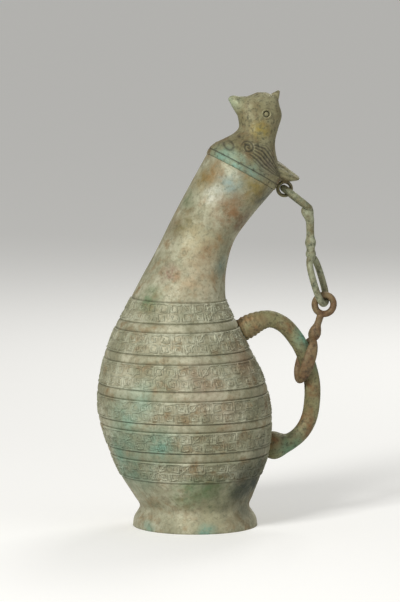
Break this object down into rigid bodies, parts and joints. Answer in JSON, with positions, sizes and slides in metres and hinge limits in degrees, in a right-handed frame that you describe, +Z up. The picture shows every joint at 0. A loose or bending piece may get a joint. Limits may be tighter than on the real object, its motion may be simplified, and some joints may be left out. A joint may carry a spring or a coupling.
{
  "type": "lidded hu vessel",
  "caption": "Bronze ritual wine vessel with a bent neck, ring foot, serpent handle and a bird-shaped lid on a link chain.",
  "frame": {"origin": "under the middle of the whole object's box, on the plane that the ring foot stands on", "axes": "+Z up, +X towards the handle, the neck and handle lie in the XZ plane"},
  "size_m": [0.2094, 0.1494, 0.375],
  "materials": {
    "green_patina": "matte",
    "olive_patina": "matte",
    "brown_patina": "matte",
    "fired_clay": "matte"
  },
  "bodies": {
    "vessel": {"vessel_body": "green_patina", "handle": "olive_patina", "handle_core": "fired_clay", "handle_rivet_upper": "olive_patina", "handle_rivet_lower": "olive_patina", "chaplet_1": "brown_patina", "chaplet_2": "brown_patina", "chaplet_3": "brown_patina", "chaplet_4": "brown_patina"},
    "lid": {"lid": "olive_patina", "head_core": "fired_clay"},
    "upper_link": {"chain_link_upper": "green_patina"},
    "lower_link": {"chain_link_lower": "brown_patina"}
  },
  "joints": [
    {"name": "lid_lift", "type": "slide", "parent": "vessel", "child": "lid", "axis": [0.4848, 0, 0.8746], "range_m": [0, 0.03]},
    {"name": "upper_link_swing", "type": "hinge", "parent": "lid", "child": "upper_link", "pos_m": [0.05817, 0, 0.29], "axis": [0, 1, 0], "range_deg": [0, 18]},
    {"name": "lower_link_swing", "type": "hinge", "parent": "upper_link", "child": "lower_link", "pos_m": [0.09387, 0, 0.19], "axis": [0, 1, 0], "range_deg": [-23, 0]}
  ],
  "couplings": [
    {"joint": "upper_link_swing", "follows": "lid_lift", "rad_per_m": 9.19},
    {"joint": "lower_link_swing", "follows": "lid_lift", "rad_per_m": -11.75}
  ]
}
